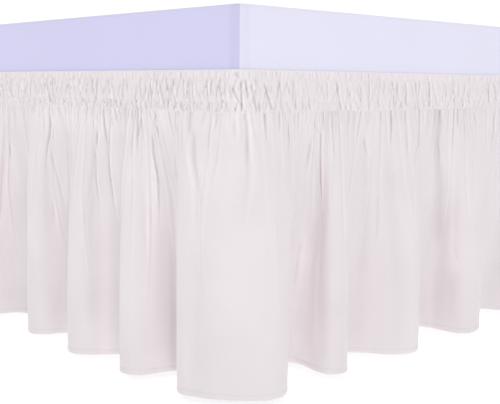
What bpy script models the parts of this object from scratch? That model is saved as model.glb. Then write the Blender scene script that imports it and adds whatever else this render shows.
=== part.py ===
"""A gathered elastic bed skirt fitted round a twin box spring. Metres, +Z up, floor at z = 0.

The bed lies along Y with its foot at -Y. A place round the bed is measured along the sides of the
box spring, anticlockwise from the foot corner at +X, so the foot side has places below zero.
"""

import math
import random

import bpy

# Box spring, 39 x 75 x 9 in
BOX_WIDTH = 0.991
BOX_LENGTH = 1.905
BOX_DEPTH = 0.229
BOX_CORNER = 0.016
BOX_EDGE = 0.006
BOX_SHOWS = 0.075  # bare side of the box above the heading

# Skirt: 15 in from the top of the heading to the hem
DROP = 0.381
HEM_CLEARANCE = 0.008
HEADING_HEIGHT = 0.049
CLOTH = 0.002
SEAM_OUT = 0.0048  # middle of the cloth off the box where it joins the heading
WIDTHS_OF_CLOTH = 4
GAP = 0.0003

LEG_RADIUS = 0.026
LEG_FOOT_RADIUS = 0.020
LEG_INSET = 0.085

HEADING_TOP = HEM_CLEARANCE + DROP
SEAM_Z = HEADING_TOP - HEADING_HEIGHT
BOX_TOP = HEADING_TOP + BOX_SHOWS
BOX_BOTTOM = BOX_TOP - BOX_DEPTH
PERIMETER = 2 * (BOX_WIDTH + BOX_LENGTH)
SIDES = (BOX_LENGTH, BOX_WIDTH, BOX_LENGTH, BOX_WIDTH)

# The folds round the foot corner at +X, one row for each valley and crest in turn.
# place: along the box at the hem; out: off the box at the hem; seam: place at the heading;
# steep: 0 for a soft flank towards the next row, 1 for one that stands square to the box. mm.
CORNER_FOLDS = (
    # place, out, seam, steep
    (-485, -2, -520, 0.6),
    (-381, 60, -452, 0.5),
    (-328, 2, -378, 0.4),
    (-263, 67, -318, 0.1),
    (-181, 3, -237, 0.9),
    (-143, 66, -205, 1.0),
    (-85, 0, -148, 0.7),
    (-28, 62, -72, 0.0),
    (0, 45, 0, 0.0),
    (18, 50, 48, 0.6),
    (104, -41, 130, 1.0),
    (149, 47, 172, 0.9),
    (186, -18, 215, 0.3),
    (285, 49, 300, 0.6),
    (362, -32, 393, 1.0),
    (435, 48, 470, 0.4),
    (546, -30, 572, 0.4),
)
DEEP_VALLEY = 6  # the row of the deepest fold beside the corner, where two widths of cloth are joined
# The three corners that are out of sight get the same bulge, set from the corner itself.
FAR_CORNER = (
    (-98, -8, -128, 0.7),
    (-26, 50, -56, 0.1),
    (2, 44, 2, 0.1),
    (26, 50, 54, 0.7),
    (100, -8, 128, 0.7),
)
FOLD_PITCH = 0.142
PITCH_SPREAD = 0.16
# How far crests and valleys go at the hem, on the long sides and on the ends.
CREST_OUT = {"long": 0.050, "end": 0.067}
VALLEY_OUT = {"long": -0.028, "end": -0.002}
CREST_SPREAD = 0.22
SEED = 11

# Cloth mesh: rows from the heading (0) to the hem (1), and steps in each flank
ROWS = (0.0, 0.10, 0.23, 0.40, 0.67, 1.0)
FLANK_STEPS = 5
GATHER_ROWS = {0.10: 0.0026, 0.23: 0.0014}  # height of the small gathers at a row
VALLEY_START = 0.36  # valleys may pass under the box below this share of the drop

# Heading, from the top down: height below its top, distance off the box
HEADING_PROFILE = (
    # down, out
    (0.0000, 0.0030),
    (0.0095, 0.0036),
    (0.0115, 0.0028),
    (0.0160, 0.0056),
    (0.0345, 0.0058),
    (0.0395, 0.0034),
    (0.0490, 0.0060),
)
PUCKERS = 160
PUCKER_DEPTH = (0.0008, 0.0012, 0.0006, 0.0022, 0.0022, 0.0006, 0.0016)
CORNER_STEPS = 4


def clear_scene():
    for thing in list(bpy.data.objects):
        bpy.data.objects.remove(thing, do_unlink=True)


def finish(name, colour, roughness):
    """A plain surface finish; the colour is linear."""
    made = bpy.data.materials.new(name)
    made.use_nodes = True
    shader = made.node_tree.nodes["Principled BSDF"]
    shader.inputs["Base Color"].default_value = (*colour, 1)
    shader.inputs["Roughness"].default_value = roughness
    shader.inputs["Metallic"].default_value = 0
    return made


def add_solid(name, points, faces, material):
    mesh = bpy.data.meshes.new(name)
    mesh.from_pydata(points, [], faces)
    mesh.materials.append(material)
    mesh.update()
    made = bpy.data.objects.new(name, mesh)
    bpy.context.scene.collection.objects.link(made)
    return made


def beside_box(place, out, z):
    """The point this far round the box and this far off its side."""
    place %= PERIMETER
    side = 0
    while place > SIDES[side]:
        place -= SIDES[side]
        side += 1
    corner_x = (1, 1, -1, -1)
    corner_y = (-1, 1, 1, -1)
    facing = math.radians(90 * side)
    if BOX_CORNER < place < SIDES[side] - BOX_CORNER:
        x = corner_x[side] * BOX_WIDTH / 2 - math.sin(facing) * place
        y = corner_y[side] * BOX_LENGTH / 2 + math.cos(facing) * place
        return (x + math.cos(facing) * out, y + math.sin(facing) * out, z)
    if place <= BOX_CORNER:
        corner = side
        turn = facing - math.radians(45) * (1 - place / BOX_CORNER)
    else:
        corner = (side + 1) % 4
        turn = facing + math.radians(45) * (1 - (SIDES[side] - place) / BOX_CORNER)
    centre_x = corner_x[corner] * (BOX_WIDTH / 2 - BOX_CORNER)
    centre_y = corner_y[corner] * (BOX_LENGTH / 2 - BOX_CORNER)
    reach = BOX_CORNER + out
    return (centre_x + reach * math.cos(turn), centre_y + reach * math.sin(turn), z)


def side_kind(place):
    """Which kind of side a place lies on: the first and third sides are the long ones."""
    place %= PERIMETER
    on_long = place < BOX_LENGTH or BOX_LENGTH + BOX_WIDTH < place < PERIMETER - BOX_WIDTH
    return "long" if on_long else "end"


def corner_rows(table, corner):
    """A table's rows in metres, set round the corner at this place."""
    return [
        {"hem": corner + p / 1000, "out": o / 1000, "seam": corner + s / 1000, "steep": k}
        for p, o, s, k in table
    ]


def folds_between(start, end, chance):
    """Uneven folds that fill a stretch of side from one valley to another, ends not included."""
    count = round((end["hem"] - start["hem"]) / FOLD_PITCH)
    kind = side_kind((start["hem"] + end["hem"]) / 2)
    widths = [1 + chance.uniform(-PITCH_SPREAD, PITCH_SPREAD) for _ in range(2 * count)]
    total = sum(widths)
    largest = chance.randrange(count)
    rows = []
    walked = 0
    for step, width in enumerate(widths[:-1]):
        walked += width / total
        if step % 2 == 0:
            share = 1 if step // 2 == largest else 1 - chance.uniform(0.03, CREST_SPREAD)
            out = CREST_OUT[kind] * share
        else:
            out = VALLEY_OUT[kind] * chance.uniform(0.7, 1.3)
        hem = start["hem"] + walked * (end["hem"] - start["hem"])
        even = start["seam"] + walked * (end["seam"] - start["seam"])
        shift = chance.uniform(-0.16, 0.16) * FOLD_PITCH
        rows.append({"hem": hem, "out": out, "seam": even + shift, "steep": chance.uniform(0.1, 0.95)})
    return rows


def all_folds():
    """Every valley and crest round the bed, in turn, from the deep valley beside the foot corner."""
    chance = random.Random(SEED)
    rows = corner_rows(CORNER_FOLDS[DEEP_VALLEY:], 0)
    corner = 0
    for side in SIDES[:-1]:
        corner += side
        bulge = corner_rows(FAR_CORNER, corner)
        rows += folds_between(rows[-1], bulge[0], chance) + bulge
    last = corner_rows(CORNER_FOLDS[: DEEP_VALLEY + 1], PERIMETER)
    return rows + folds_between(rows[-1], last[0], chance) + last


def grown(down):
    """How much of a fold has opened at this share of the drop: fast at first, then slowly."""
    return 1 - (1 - down) ** 2.2


def row_at(row, down):
    """A valley's or a crest's place and distance off the box at a share of the drop."""
    opened = grown(down)
    place = row["seam"] + (row["hem"] - row["seam"]) * opened
    if row["out"] > SEAM_OUT:
        return place, SEAM_OUT + (row["out"] - SEAM_OUT) * opened
    below = max(0, (down - VALLEY_START) / (1 - VALLEY_START))
    return place, SEAM_OUT + (row["out"] - SEAM_OUT) * below


def cloth_line(rows, down):
    """The middle of the cloth at a share of the drop, as places and distances off the box."""
    line = []
    for this, following in zip(rows, rows[1:]):
        place_a, out_a = row_at(this, down)
        place_b, out_b = row_at(following, down)
        for step in range(FLANK_STEPS):
            t = step / FLANK_STEPS
            along = t + this["steep"] * min(1, 2 * down) * math.sin(2 * math.pi * t) / (2 * math.pi)
            rise = (1 - math.cos(math.pi * t)) / 2
            gather = GATHER_ROWS.get(down, 0) * (len(line) % 2)
            line.append((place_a + along * (place_b - place_a), out_a + rise * (out_b - out_a) + gather))
    line.append(row_at(rows[-1], down))
    return line


def cloth_faces(line, z, start_gap, end_gap):
    """The inner and outer points of the cloth along one row, half its thickness to each side."""
    places = [list(pair) for pair in line]
    places[0][0] += start_gap
    places[-1][0] -= end_gap
    middle = [beside_box(place, out, z) for place, out in places]
    inner = []
    outer = []
    for index, (x, y, _) in enumerate(middle):
        before = middle[max(index - 1, 0)]
        after = middle[min(index + 1, len(middle) - 1)]
        along_x = after[0] - before[0]
        along_y = after[1] - before[1]
        if index in (0, len(middle) - 1):
            facing = beside_box(places[index][0], 1, z)
            foot = beside_box(places[index][0], 0, z)
            out_x = facing[0] - foot[0]
            out_y = facing[1] - foot[1]
        else:
            out_x = along_y
            out_y = -along_x
        size = math.hypot(out_x, out_y)
        half_x = out_x / size * CLOTH / 2
        half_y = out_y / size * CLOTH / 2
        inner.append((x - half_x, y - half_y, z))
        outer.append((x + half_x, y + half_y, z))
    return inner, outer


def width_of_cloth(name, rows, material):
    """One width of the skirt's cloth, gathered at its top and hanging in folds to its hem."""
    top = SEAM_Z - GAP
    points = []
    loops = []
    for down in ROWS:
        z = top + (HEM_CLEARANCE - top) * down
        inner, outer = cloth_faces(cloth_line(rows, down), z, GAP / 2, GAP / 2)
        loops.append((len(points), len(points) + len(inner)))
        points += inner + outer
    count = len(inner)
    faces = []
    for (in_a, out_a), (in_b, out_b) in zip(loops, loops[1:]):
        for c in range(count - 1):
            faces.append((out_a + c, out_b + c, out_b + c + 1, out_a + c + 1))
            faces.append((in_a + c, in_a + c + 1, in_b + c + 1, in_b + c))
        faces.append((in_a, in_b, out_b, out_a))
        faces.append((out_a + count - 1, out_b + count - 1, in_b + count - 1, in_a + count - 1))
    in_top, out_top = loops[0]
    in_hem, out_hem = loops[-1]
    for c in range(count - 1):
        faces.append((in_top + c, out_top + c, out_top + c + 1, in_top + c + 1))
        faces.append((out_hem + c, in_hem + c, in_hem + c + 1, out_hem + c + 1))
    return add_solid(name, points, faces, material)


def shared_out(rows):
    """The folds of each width of cloth. A width starts and ends in a valley, where its seam is hidden."""
    valleys = [i for i, row in enumerate(rows) if row["out"] < SEAM_OUT]
    cuts = []
    for share in range(WIDTHS_OF_CLOTH + 1):
        wanted = rows[0]["hem"] + PERIMETER * share / WIDTHS_OF_CLOTH
        cuts.append(min(valleys, key=lambda i: abs(rows[i]["hem"] - wanted)))
    return [rows[a : b + 1] for a, b in zip(cuts, cuts[1:])]


def heading_band(material):
    """The shirred elastic heading, one closed band with a lip, a casing and a lower strip."""
    chance = random.Random(SEED + 1)
    places = [PERIMETER * (i + chance.uniform(-0.22, 0.22)) / (2 * PUCKERS) for i in range(2 * PUCKERS)]
    places = [p for p in places if min(abs(p - c) for c in corner_places()) > 1.5 * BOX_CORNER]
    for corner in corner_places()[:-1]:
        for step in range(-CORNER_STEPS, CORNER_STEPS + 1):
            places.append(corner + step * BOX_CORNER / CORNER_STEPS)
    places = sorted(p % PERIMETER for p in places)
    points = []
    for index, place in enumerate(places):
        pucker = (index % 2) * chance.uniform(0.5, 1)
        for (down, out), depth in zip(HEADING_PROFILE, PUCKER_DEPTH):
            points.append(beside_box(place, out - depth * pucker, HEADING_TOP - down))
        points.append(beside_box(place, GAP, SEAM_Z))
        points.append(beside_box(place, GAP, HEADING_TOP))
    ring = len(HEADING_PROFILE) + 2
    faces = []
    for c in range(len(places)):
        here = c * ring
        following = (c + 1) % len(places) * ring
        for k in range(ring):
            faces.append((here + k, here + (k + 1) % ring, following + (k + 1) % ring, following + k))
    return add_solid("elastic_heading", points, faces, material)


def corner_places():
    places = [0]
    for side in SIDES:
        places.append(places[-1] + side)
    return places


def box_spring(material):
    """The box spring, a plain block with rounded corners and softly broken edges."""
    outline = []
    for corner in corner_places()[:-1]:
        for step in range(-CORNER_STEPS, CORNER_STEPS + 1):
            outline.append(corner + step * BOX_CORNER / CORNER_STEPS)
    levels = (
        (BOX_BOTTOM, -BOX_EDGE),
        (BOX_BOTTOM + BOX_EDGE, 0),
        (BOX_TOP - BOX_EDGE, 0),
        (BOX_TOP - 0.3 * BOX_EDGE, -0.3 * BOX_EDGE),
        (BOX_TOP, -BOX_EDGE),
    )
    points = [beside_box(place, out, z) for z, out in levels for place in outline]
    count = len(outline)
    faces = [tuple(reversed(range(count))), tuple(range((len(levels) - 1) * count, len(levels) * count))]
    for level in range(len(levels) - 1):
        for c in range(count):
            a = level * count + c
            b = level * count + (c + 1) % count
            faces.append((a, b, b + count, a + count))
    return add_solid("box_spring", points, faces, material)


def leg(number, x, y, material):
    """A turned leg that carries the box spring, a little narrower at the foot."""
    height = BOX_BOTTOM - GAP
    bpy.ops.mesh.primitive_cone_add(
        vertices=24,
        radius1=LEG_FOOT_RADIUS,
        radius2=LEG_RADIUS,
        depth=height,
        location=(x, y, height / 2),
    )
    made = bpy.context.object
    made.name = f"leg_{number}"
    made.data.name = made.name
    made.data.materials.append(material)
    return made


def build():
    clear_scene()
    cotton = finish("white microfibre", (0.82, 0.77, 0.79), 0.9)
    ticking = finish("lavender ticking", (0.66, 0.65, 0.89), 0.9)
    beech = finish("beech", (0.55, 0.36, 0.2), 0.5)
    box_spring(ticking)
    number = 0
    for x in (BOX_WIDTH / 2 - LEG_INSET, LEG_INSET - BOX_WIDTH / 2):
        for y in (LEG_INSET - BOX_LENGTH / 2, 0, BOX_LENGTH / 2 - LEG_INSET):
            number += 1
            leg(number, x, y, beech)
    heading_band(cotton)
    for number, rows in enumerate(shared_out(all_folds()), 1):
        width_of_cloth(f"skirt_width_{number}", rows, cotton)


build()
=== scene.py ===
"""A gathered elastic bed skirt round a twin box spring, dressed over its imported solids.

Metres, +Z up, floor at z = 0. A place round the bed is measured along the sides of the box spring,
anticlockwise from the foot corner at +X, so the foot side has places below zero.
"""

import math
import random

import bmesh
import bpy
import numpy as np
from mathutils import Matrix, Vector


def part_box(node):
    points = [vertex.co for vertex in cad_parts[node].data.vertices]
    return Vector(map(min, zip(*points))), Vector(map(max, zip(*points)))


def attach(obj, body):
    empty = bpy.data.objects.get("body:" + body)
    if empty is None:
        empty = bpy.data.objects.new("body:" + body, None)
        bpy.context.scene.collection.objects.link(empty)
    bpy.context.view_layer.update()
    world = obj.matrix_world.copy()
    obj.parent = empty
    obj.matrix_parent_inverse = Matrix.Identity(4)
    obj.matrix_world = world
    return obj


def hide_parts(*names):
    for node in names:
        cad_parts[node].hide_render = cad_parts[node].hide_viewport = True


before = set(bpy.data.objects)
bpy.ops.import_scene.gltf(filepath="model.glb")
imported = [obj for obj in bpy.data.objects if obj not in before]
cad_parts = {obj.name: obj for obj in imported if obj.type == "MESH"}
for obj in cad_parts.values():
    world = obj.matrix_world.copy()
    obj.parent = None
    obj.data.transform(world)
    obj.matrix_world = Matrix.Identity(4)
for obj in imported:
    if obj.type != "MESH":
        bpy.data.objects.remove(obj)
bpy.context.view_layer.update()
bpy.ops.object.select_all(action="DESELECT")


# ---------------------------------------------------------------------------------------------
# The box spring: slats and springs in a softwood frame, under a knitted polyester ticking that is
# pulled tight and stapled below. Its long corners are rounded and its edges softly broken.

box_low, box_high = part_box("box_spring")
box_width, box_length, box_depth = box_high - box_low
BOX_CORNER = 0.016
BOX_EDGE = 0.006
# The end ticking is a darker copy of the side's: painted shade on the box's end faces.
SIDE_TICKING = "EBEAFD"
END_TICKING_SHADED = "D9D7F7"
SIDE_CORNER_SHADE = 0.95  # painted shade: how bright the ticking is at the box's upright edges, of what it is elsewhere
END_CORNER_SHADE = 0.91
CORNER_SHADE_FROM = 0.022  # off the end of a side, where the painted shade begins, and where it is full
CORNER_SHADE_TO = 0.010
TICKING_RIB = 0.0024  # the knit's ribs are 0.6 mm apart; drawn four times coarser to show


def from_hex(text, brightness=1):
    """An sRGB hex colour as a linear one, this many times as bright."""
    shares = [int(text[i : i + 2], 16) / 255 for i in (0, 2, 4)]
    linear = [s / 12.92 if s <= 0.04045 else ((s + 0.055) / 1.055) ** 2.4 for s in shares]
    return (*[brightness * s for s in linear], 1)


def add_node(owner, kind, inputs=(), stops=(), **settings):
    """Adds a shader node to a material or world. Each input is a socket and its value, or another
    node or output to link to it. Each stop is a place on a colour ramp and its colour."""
    tree = owner.node_tree
    made = tree.nodes.new("ShaderNode" + kind)
    for name, value in settings.items():
        setattr(made, name, value)
    for socket, value in inputs:
        if isinstance(value, bpy.types.Node):
            value = value.outputs[0]
        if isinstance(value, bpy.types.NodeSocket):
            tree.links.new(value, made.inputs[socket])
        else:
            made.inputs[socket].default_value = value
    for number, (place, colour) in enumerate(stops):
        made.color_ramp.elements[number].position = place
        made.color_ramp.elements[number].color = colour
    return made


def new_material(name, roughness, **constants):
    """A material whose shader has these constant sockets."""
    made = bpy.data.materials.new(name)
    made.use_nodes = True
    shader = made.node_tree.nodes["Principled BSDF"]
    shader.inputs["Roughness"].default_value = roughness
    for socket, value in constants.items():
        shader.inputs[socket.replace("_", " ")].default_value = value
    return made, shader


def finish_material(made, shader, colour, bump):
    """Links a colour and a bump to the shader."""
    made.node_tree.links.new(colour.outputs[0], shader.inputs["Base Color"])
    made.node_tree.links.new(bump.outputs[0], shader.inputs["Normal"])
    return made


def ticking(name, colour, along, half, corner_shade):
    """Knitted polyester ticking, piece-dyed: matt, with faint upright ribs, a grain of 2 to 3 mm
    and a dye that is slightly cloudy, 110 mm to a cloud. It is painted darker towards the upright
    edges of the box: painted shade of the rounded corners."""
    made, shader = new_material(name, 0.75, Sheen_Weight=0.15, Sheen_Roughness=0.5)
    where = add_node(made, "TexCoord").outputs["Object"]
    cloudy = add_node(made, "TexNoise", [("Vector", where), ("Scale", 9.0), ("Detail", 3.0)])
    tones = ((0.35, from_hex(colour, 0.976)), (0.65, from_hex(colour, 0.989)))
    dyed = add_node(made, "ValToRGB", [("Fac", cloudy)], tones)
    split = add_node(made, "SeparateXYZ", [("Vector", where)])
    off_middle = add_node(made, "Math", [(0, split.outputs[along])], operation="ABSOLUTE")
    near_edge = add_node(
        made,
        "MapRange",
        [
            ("Value", off_middle),
            ("From Min", half - CORNER_SHADE_FROM),
            ("From Max", half - CORNER_SHADE_TO),
            ("To Min", 1.0),
            ("To Max", corner_shade),
        ],
        interpolation_type="SMOOTHSTEP",
    )
    tone = add_node(made, "VectorMath", [(0, dyed), ("Scale", near_edge)], operation="SCALE")
    round_box = add_node(
        made, "Math", [(0, split.outputs["X"]), (1, split.outputs["Y"])], operation="ADD"
    )
    ribs = add_node(
        made, "Math", [(0, round_box), (1, 2 * math.pi / TICKING_RIB)], operation="MULTIPLY"
    )
    wave = add_node(made, "Math", [(0, ribs)], operation="SINE")
    grain = add_node(made, "TexNoise", [("Vector", where), ("Scale", 420.0), ("Detail", 2.0)])
    relief = add_node(made, "Math", [(0, wave), (1, grain)], operation="ADD")
    bump = add_node(made, "Bump", [("Height", relief), ("Strength", 0.12), ("Distance", 0.0006)])
    return finish_material(made, shader, tone, bump)


def bevel_where(made, chosen, offset, segments):
    """Bevels the edges whose direction and middle pass the test."""
    bpy.context.view_layer.objects.active = made
    bpy.ops.object.mode_set(mode="EDIT")
    bpy.ops.mesh.select_mode(type="EDGE")
    bpy.ops.mesh.select_all(action="DESELECT")
    shape = bmesh.from_edit_mesh(made.data)
    for edge in shape.edges:
        start, end = (v.co for v in edge.verts)
        if chosen((end - start).normalized(), (start + end) / 2):
            edge.select_set(True)
    bmesh.update_edit_mesh(made.data)
    bpy.ops.mesh.bevel(offset=offset, segments=segments, affect="EDGES")
    bpy.ops.object.mode_set(mode="OBJECT")


def is_upright(way, middle):
    """Whether an edge runs up a corner of the box."""
    return abs(way.z) > 0.9


def is_rim(way, middle):
    """Whether an edge runs level round the top or foot of the box."""
    return abs(way.z) < 0.1 and min(middle.z - box_low.z, box_high.z - middle.z) < 0.001


bpy.ops.mesh.primitive_cube_add(
    size=1, location=(box_low + box_high) / 2, scale=(box_width, box_length, box_depth)
)
box_cover = bpy.context.object
box_cover.name = "box_spring_cover"
bpy.ops.object.transform_apply(location=True, rotation=True, scale=True)
bevel_where(box_cover, is_upright, BOX_CORNER, 8)
bevel_where(box_cover, is_rim, BOX_EDGE, 4)
bpy.ops.object.shade_smooth_by_angle(angle=math.radians(40))
# The end faces get the darker copy of the ticking: painted shade.
for material in (
    ticking("side_ticking", SIDE_TICKING, "Y", box_length / 2, SIDE_CORNER_SHADE),
    ticking("end_ticking_shaded", END_TICKING_SHADED, "X", box_width / 2, END_CORNER_SHADE),
):
    box_cover.data.materials.append(material)
for face in box_cover.data.polygons:
    face.material_index = int(abs(face.normal.y) > abs(face.normal.x) and abs(face.normal.z) < 0.9)
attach(box_cover, "root")
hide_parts("box_spring")
box_cover.select_set(False)


# ---------------------------------------------------------------------------------------------
# The legs: turned beech, screwed up into the box spring's frame, waxed and left plain. They stand
# behind the skirt, so they keep the solids' own shape.

BEECH_DARK = "B98A5E"
BEECH_LIGHT = "D3AB7F"

# Waxed beech: pale brown, with darker flecks drawn out along the leg, 6 mm apart across it, under a
# soft shine.
beech, shader = new_material("waxed_beech", 0.42, IOR=1.5, Coat_Weight=0.15, Coat_Roughness=0.35)
where = add_node(beech, "TexCoord").outputs["Object"]
stretched = add_node(beech, "Mapping", [("Vector", where), ("Scale", (1, 1, 0.08))])
flecks = add_node(beech, "TexNoise", [("Vector", stretched), ("Scale", 160.0), ("Detail", 6.0)])
tones = ((0.4, from_hex(BEECH_DARK)), (0.62, from_hex(BEECH_LIGHT)))
grain = add_node(beech, "ValToRGB", [("Fac", flecks)], tones)
pores = add_node(beech, "Bump", [("Height", flecks), ("Strength", 0.25), ("Distance", 0.0004)])
finish_material(beech, shader, grain, pores)
for number in range(1, 7):
    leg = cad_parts[f"leg_{number}"]
    leg.data.materials.clear()
    leg.data.materials.append(beech)


# ---------------------------------------------------------------------------------------------
# The skirt: four widths of brushed polyester microfibre joined in the valleys of their folds. The
# top is gathered to about two thirds and sewn under the heading; the foot has a narrow turned hem.

heading_low, heading_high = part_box("elastic_heading")
HEADING_TOP = heading_high.z
SEAM_Z = heading_low.z
HEM_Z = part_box("skirt_width_1")[0].z
SEAM_OUT = 0.0048  # middle of the cloth off the box where it joins the heading
SIDES = (box_length, box_width, box_length, box_width)
CORNER_AT = np.array([0, box_length, box_length + box_width, 2 * box_length + box_width])
PERIMETER = sum(SIDES)

# The folds round the photographed corner, one row for each valley and crest in turn.
# place: along the box at the hem; out: off the box at the hem; seam: place at the heading;
# steep: 0 for a soft flank towards the next row, 1 for one that stands square to the box. mm.
CORNER_FOLDS = (
    # place, out, seam, steep
    (-482, 3, -520, 0.0),
    (-446, 0, -488, 0.2),
    (-385, 58, -452, 0.3),
    (-328, 2, -378, 0.3),
    (-262, 67, -318, 0.1),
    (-181, 3, -237, 0.9),
    (-143, 66, -205, 0.6),
    (-84, 0, -148, 0.7),
    (-31, 60, -84, 0.0),
    (0, 46, 0, 0.0),
    (15, 54, 46, 0.4),
    (106, -42, 130, 1.8),
    (143, 45, 168, 0.5),
    (188, -20, 215, 0.3),
    (284, 50, 300, 0.0),
    (378, -34, 400, 1.0),
    (434, 48, 470, 0.1),
    (546, -30, 572, 0.4),
)
DEEP_VALLEY = 7  # the row of the deepest fold beside the corner, where two widths are joined
CORNER_ROW = 2  # the corner's own row, counted from the deep valley
# The three corners that are out of sight get the same bulge, set from the corner itself.
FAR_CORNER = (
    (-98, -8, -128, 0.7),
    (-26, 50, -56, 0.1),
    (2, 44, 2, 0.1),
    (26, 50, 54, 0.7),
    (100, -8, 128, 0.7),
)
# The folds elsewhere are uneven, and one crest of each side is the largest.
FOLD_PITCH = 0.142
PITCH_SPREAD = 0.16
CREST_OUT = {"long": 0.050, "end": 0.067}  # of the largest
CREST_SHORT = (0.03, 0.22)  # share of that by which the others fall short
VALLEY_OUT = {"long": -0.028, "end": -0.002}
VALLEY_SHARE = (0.7, 1.3)  # of that, from one valley to the next
SEAM_SHIFT = 0.16  # of the pitch: how far from even a fold lies at the heading
FLANK_STEEP = (0.1, 0.95)
FOLD_SEED = 11
OPENING = 2.2  # power of the drop by which folds open: fast below the heading, and then slower
VALLEY_START = 0.36  # valleys may pass under the box below this share of the drop
# How sunk the cloth counts as by its distance off the box, for the painted shade in the valleys:
# most where it all but touches the side.
SUNK_AT = ((-0.040, 0.004, 0.045), (0, 1, 0))
SUNK_POWER = 5  # keeps that to the valley's floor
SUNK_SOON = 1.8  # it is full from 1 / 1.8 of the drop down

# Cloth mesh
SHOWN_REACH = 0.64  # from the corner to either side: the folds of the first table
SHOWN_COLUMN = 0.0015  # along the hem, there
COLUMN = 0.0032  # elsewhere
# How high the rows are, each step down to this far below the seam: lowest in the gathers.
ROW_STEPS = ((0.014, 0.0017), (0.040, 0.0026), (0.12, 0.0046), (1, 0.0078))
HEM_CLEAR = 0.004  # least height from those rows to the turned hem
THICK = 0.0010
FLAT_AT_JOIN = 0.006  # off the join of two widths, where the cloth lies flat
UNDER_HEADING = 0.0016  # how far the cloth runs up behind the heading's lower edge
TUCK = 0.0016  # how far its top is pressed in there, and over what drop
TUCK_DROP = 0.0012
# The turned hem, from above its stitch line to its edge: height above the edge, outward step of
# the outer face and inward step of the inner one. mm.
HEM_ROWS = (
    # height, outer, inner
    (11.0, 0.0, 0.0),
    (8.4, 0.0, 0.2),
    (7.3, -0.45, 0.4),
    (6.2, 0.15, 1.1),
    (3.4, 0.40, 1.4),
    (0.9, 0.25, 1.2),
    (0.0, -0.25, 0.7),
)


def corner_rows(table, corner):
    """A table's rows in metres, set round the corner at this place."""
    return [
        {"hem": corner + p / 1000, "out": o / 1000, "seam": corner + s / 1000, "steep": k}
        for p, o, s, k in table
    ]


def side_kind(place):
    """Which kind of side a place lies on: the first and third sides are the long ones."""
    place %= PERIMETER
    on_long = place < CORNER_AT[1] or CORNER_AT[2] < place < CORNER_AT[3]
    return "long" if on_long else "end"


def folds_between(start, end, chance):
    """Uneven folds that fill a stretch of side from one valley to another, ends not included."""
    count = round((end["hem"] - start["hem"]) / FOLD_PITCH)
    kind = side_kind((start["hem"] + end["hem"]) / 2)
    widths = [1 + chance.uniform(-PITCH_SPREAD, PITCH_SPREAD) for _ in range(2 * count)]
    total = sum(widths)
    largest = chance.randrange(count)
    rows = []
    walked = 0
    for step, width in enumerate(widths[:-1]):
        walked += width / total
        if step % 2 == 0:
            share = 1 if step // 2 == largest else 1 - chance.uniform(*CREST_SHORT)
            out = CREST_OUT[kind] * share
        else:
            out = VALLEY_OUT[kind] * chance.uniform(*VALLEY_SHARE)
        hem = start["hem"] + walked * (end["hem"] - start["hem"])
        even = start["seam"] + walked * (end["seam"] - start["seam"])
        seam = even + chance.uniform(-SEAM_SHIFT, SEAM_SHIFT) * FOLD_PITCH
        rows.append({"hem": hem, "out": out, "seam": seam, "steep": chance.uniform(*FLANK_STEEP)})
    return rows


def all_folds():
    """Every valley and crest round the bed in turn, from the deep valley beside the foot corner."""
    chance = random.Random(FOLD_SEED)
    rows = corner_rows(CORNER_FOLDS[DEEP_VALLEY:], 0)
    corner = 0
    for side in SIDES[:-1]:
        corner += side
        bulge = corner_rows(FAR_CORNER, corner)
        rows += folds_between(rows[-1], bulge[0], chance) + bulge
    last = corner_rows(CORNER_FOLDS[: DEEP_VALLEY + 1], PERIMETER)
    return rows + folds_between(rows[-1], last[0], chance) + last


def beside_box(place, out):
    """The points this far round the box and this far off its side, as arrays of x and y."""
    place = np.mod(place, PERIMETER)
    side = np.clip(np.searchsorted(CORNER_AT, place, side="right") - 1, 0, 3)
    walked = place - CORNER_AT[side]
    left = np.array(SIDES)[side] - walked
    facing = np.radians(90.0 * side)
    corner_x = np.array([1, 1, -1, -1])
    corner_y = np.array([-1, 1, 1, -1])
    x = corner_x[side] * box_width / 2 - np.sin(facing) * walked + np.cos(facing) * out
    y = corner_y[side] * box_length / 2 + np.cos(facing) * walked + np.sin(facing) * out
    for near, corner, turn in (
        (walked < BOX_CORNER, side, facing - math.pi / 4 * (1 - walked / BOX_CORNER)),
        (left < BOX_CORNER, (side + 1) % 4, facing + math.pi / 4 * (1 - left / BOX_CORNER)),
    ):
        centre_x = corner_x[corner] * (box_width / 2 - BOX_CORNER)
        centre_y = corner_y[corner] * (box_length / 2 - BOX_CORNER)
        x = np.where(near, centre_x + (BOX_CORNER + out) * np.cos(turn), x)
        y = np.where(near, centre_y + (BOX_CORNER + out) * np.sin(turn), y)
    return x, y


def hanging(rows, flank, share, down):
    """Places and distances off the box of the cloth's middle: one line for each share of the drop,
    one column for each share of the way along a flank."""
    table = {key: np.array([row[key] for row in rows]) for key in rows[0]}
    down = np.asarray(down)[:, None]
    opened = 1 - (1 - down) ** OPENING
    below = np.maximum(0, (down - VALLEY_START) / (1 - VALLEY_START))
    ends = []
    for index in (flank, flank + 1):
        place = table["seam"][index] + (table["hem"][index] - table["seam"][index]) * opened
        reach = table["out"][index] - SEAM_OUT
        ends.append((place, SEAM_OUT + reach * np.where(reach > 0, opened, below)))
    (place_a, out_a), (place_b, out_b) = ends
    squared = table["steep"][flank] * np.minimum(1, 2 * down)  # soft at the heading
    along = share + squared * np.sin(2 * math.pi * share) / (2 * math.pi)
    rise = (1 - np.cos(math.pi * share)) / 2
    return place_a + along * (place_b - place_a), out_a + rise * (out_b - out_a)


def how_sunk(rows, flank, share, down):
    """How far into its valley the cloth lies, from 0 on a crest or at the seam to 1, which sets the
    painted shade in the valleys.
    """
    sunk = np.interp([row["out"] for row in rows], *SUNK_AT)
    rise = (1 - np.cos(math.pi * share)) / 2
    in_valley = sunk[flank] + rise * (sunk[flank + 1] - sunk[flank])
    setting_in = np.minimum(1, SUNK_SOON * np.asarray(down))
    return in_valley[None, :] ** SUNK_POWER * setting_in[:, None]


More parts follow.
